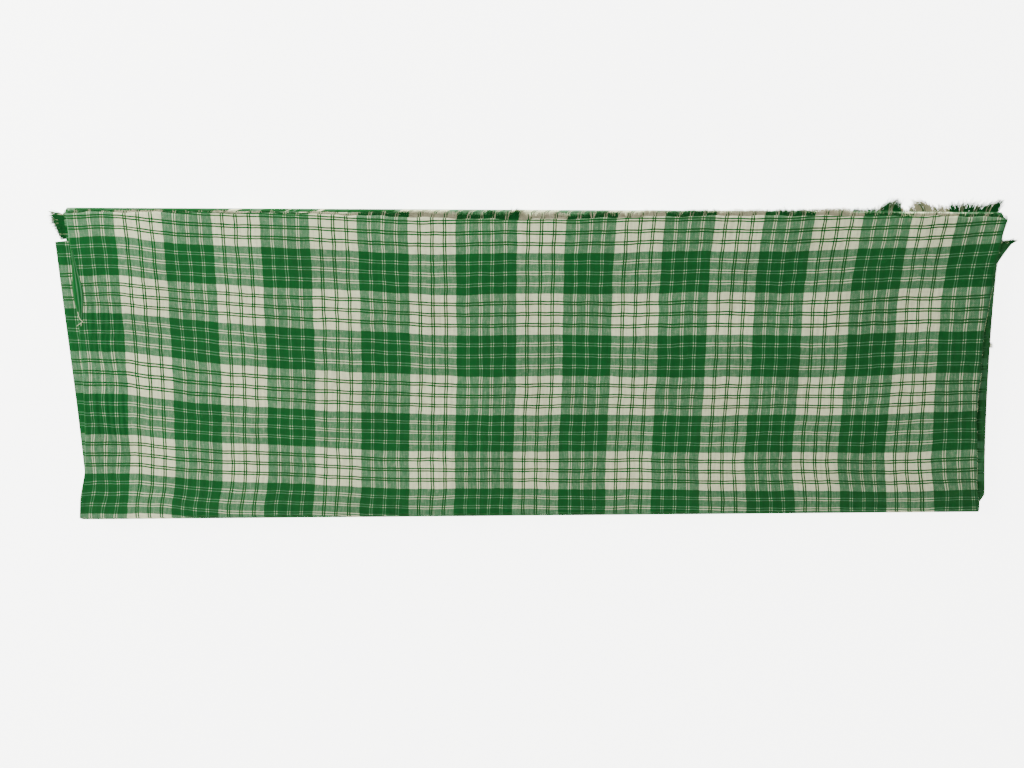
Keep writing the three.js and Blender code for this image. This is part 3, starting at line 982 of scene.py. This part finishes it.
def selvedgeLoops(panel):
    draw = np.random.default_rng(loops["seed"] + panel)
    paths, radii, kinds = [], [], []
    for ply in (0, 1):
        stagger = 0 if ply else selvedgeStagger(panel)
        y = float(np.polyval(panels[panel]["near"], 280)) + 1.5
        last = float(farAt(panel, 280)) - (turned["right"]["drop"] + 6 if panel == turned["panel"] else 1.5)
        while y < last:
            x = float(sideAt(panel, "right", np.array([y]))[0]) - stagger
            spot = np.array([x - 0.5]), np.array([y])
            height = float(heightAt(panel, ply, *spot)[0])
            along = float(placeAt(panel, *spot)[1][0])
            reach = loops["reach"] * draw.uniform(0.5, 1.6)
            paths.append([
                (x - 0.5, y - 0.3, height),
                (x + reach * 0.7, y - 0.22, height + 0.05),
                (x + reach, y, height),
                (x + reach * 0.7, y + 0.22, height - 0.05),
                (x - 0.5, y + 0.3, height),
            ])
            radii.append(loops["radius"])
            kinds.append(0 if isCreamWeft(along) else 1)
            y += loops["pitch"] * draw.uniform(0.85, 1.15)
    if panel == loops["tuftPanel"]:
        for thread in range(loops["tuftThreads"]):
            y = loops["tuftAt"] + draw.normal(0, 0.9)
            x = float(sideAt(panel, "right", np.array([y]))[0]) - 0.8
            height = float(heightAt(panel, 1, np.array([x]), np.array([y]))[0])
            reach, drop = draw.uniform(1.6, 3.4), draw.uniform(0.2, 2.6)
            paths.append([(x + reach * go * (1.4 - 0.5 * go), y - drop * go * go, height + 0.3 * go)
                          for go in np.linspace(0, 1, 6)])
            radii.append(loops["radius"] * 1.2)
            kinds.append(int(draw.uniform() < 0.4))
    made = threadMesh(f"panel_{panel}_selvedge_loops", paths, radii, [creamYarn, greenYarn], kinds)
    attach(made, f"panel_{panel}")


for panel in range(1, panelCount + 1):
    selvedgeLoops(panel)

# One loose cream weft thread at the top panel's side fold.
looseWeft = {
    "radius": 0.24,
    "lift": 0.45,             # above the cloth it lies on
    # How far right of the side fold, and how far back from its near end.
    "points": (
        (-0.2, 9.0), (0.0, 7.6), (0.1, 6.2), (0.7, 4.4), (1.9, 3.3),
        (2.1, 2.8), (1.2, 2.3), (-0.6, 1.1), (-2.1, 0.0),
    ),
}
low, high = (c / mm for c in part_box("loose_thread"))
path = []
for across, back in looseWeft["points"]:
    y = low[1] + 0.2 + back
    x = float(np.polyval(panels[panelCount]["left"], y)) + across
    lying = float(heightAt(panelCount, 1, np.array([x]), np.array([y]))[0])
    path.append((x, y, lying + looseWeft["lift"] + min(0.0, 0.5 * (across + 0.4))))
piece = threadMesh("loose_weft", [path], [looseWeft["radius"]], [creamYarn], [0], sides=8)
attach(piece, f"panel_{panelCount}")
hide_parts("loose_thread")
print("loose threads laid")

# Each panel is one doubled length of the same cloth. The pieces that join each panel are gathered here: its
# fold, or the top panel's pleat, and the threads of its raw ends.
for panel in range(1, panelCount + 1):
    piece = pieces[f"panel_{panel}"]
    going = [pieces[f"fold_{panel}"]] if panel < panelCount else [pieces["pleat"]]
    going += [pieces[f"{end}_{part}"] for end, made in ends.items() if made["panel"] == panel
              for part in ("lower", "upper")]

# Sizes and places here are in metres.
studio = {
    "floor": "#fafaf8",
    "glow": 6.0,              # back-lit paper, so no shadow falls on it
    "paperSide": 18.0,
    "paperUp": 3.4,
    "paperLow": 0.0012,       # below the pile, clear of the relief of turned panels
    "key": {"place": (-0.9, 0.45, 0.8), "size": 0.8, "power": 26.5},
    "fill": {"place": (1.3, -0.8, 1.6), "size": 1.6, "power": 1.6},
    "world": 0.2,
}


# Matt white paper, lit from behind; the faint grain keeps it from looking painted.
def paleFloor():
    material, tree = newMaterial("paleStudioPaper")
    place = addNode(tree, "ShaderNodeTexCoord", {}, {})
    grain = addNode(tree, "ShaderNodeTexNoise", {}, {"Vector": place.outputs["Object"], "Scale": 60.0})
    tone = addNode(tree, "ShaderNodeMapRange", {}, {0: grain, 1: 0, 2: 1, 3: 0.99, 4: 1.01})
    colour = addNode(tree, "ShaderNodeHueSaturation", {},
                     {"Value": tone, "Color": toLinear(studio["floor"])})
    shader = addNode(tree, "ShaderNodeBsdfPrincipled", {}, {
        "Base Color": colour, "Roughness": 0.95,
        "Emission Color": toLinear(studio["floor"]), "Emission Strength": studio["glow"]})
    addNode(tree, "ShaderNodeOutputMaterial", {}, {"Surface": shader})
    mesh = bpy.data.meshes.new("floor")
    # The paper turns up far away, so it also fills a low view.
    side, turnedUp = studio["paperSide"], studio["paperUp"]
    corners = [(-side, -side), (side, -side), (side, side), (-side, side)]
    points = [(x, y, height) for height in (0, turnedUp) for x, y in corners]
    walls = [(k, (k + 1) % 4, (k + 1) % 4 + 4, k + 4) for k in range(4)]
    mesh.from_pydata(points, [], [(0, 1, 2, 3)] + walls)
    mesh.materials.append(material)
    floor = bpy.data.objects.new("floor", mesh)
    bpy.context.scene.collection.objects.link(floor)
    floor.location.z = -studio["paperLow"]


paleFloor()


# A square soft light that faces the pile.
def softBox(name):
    box = studio[name]
    light = bpy.data.lights.new(name, "AREA")
    light.shape = "RECTANGLE"
    light.size = light.size_y = box["size"]
    light.energy = box["power"]
    lamp = bpy.data.objects.new(name, light)
    bpy.context.scene.collection.objects.link(lamp)
    lamp.location = box["place"]
    lamp.rotation_euler = (-Vector(box["place"])).to_track_quat("-Z", "Y").to_euler()


softBox("key")
softBox("fill")
world = bpy.data.worlds.new("studio")
bpy.context.scene.world = world
world.use_nodes = True
world.node_tree.nodes["Background"].inputs["Color"].default_value = (1, 1, 1, 1)
world.node_tree.nodes["Background"].inputs["Strength"].default_value = studio["world"]
print("floor and lights set")
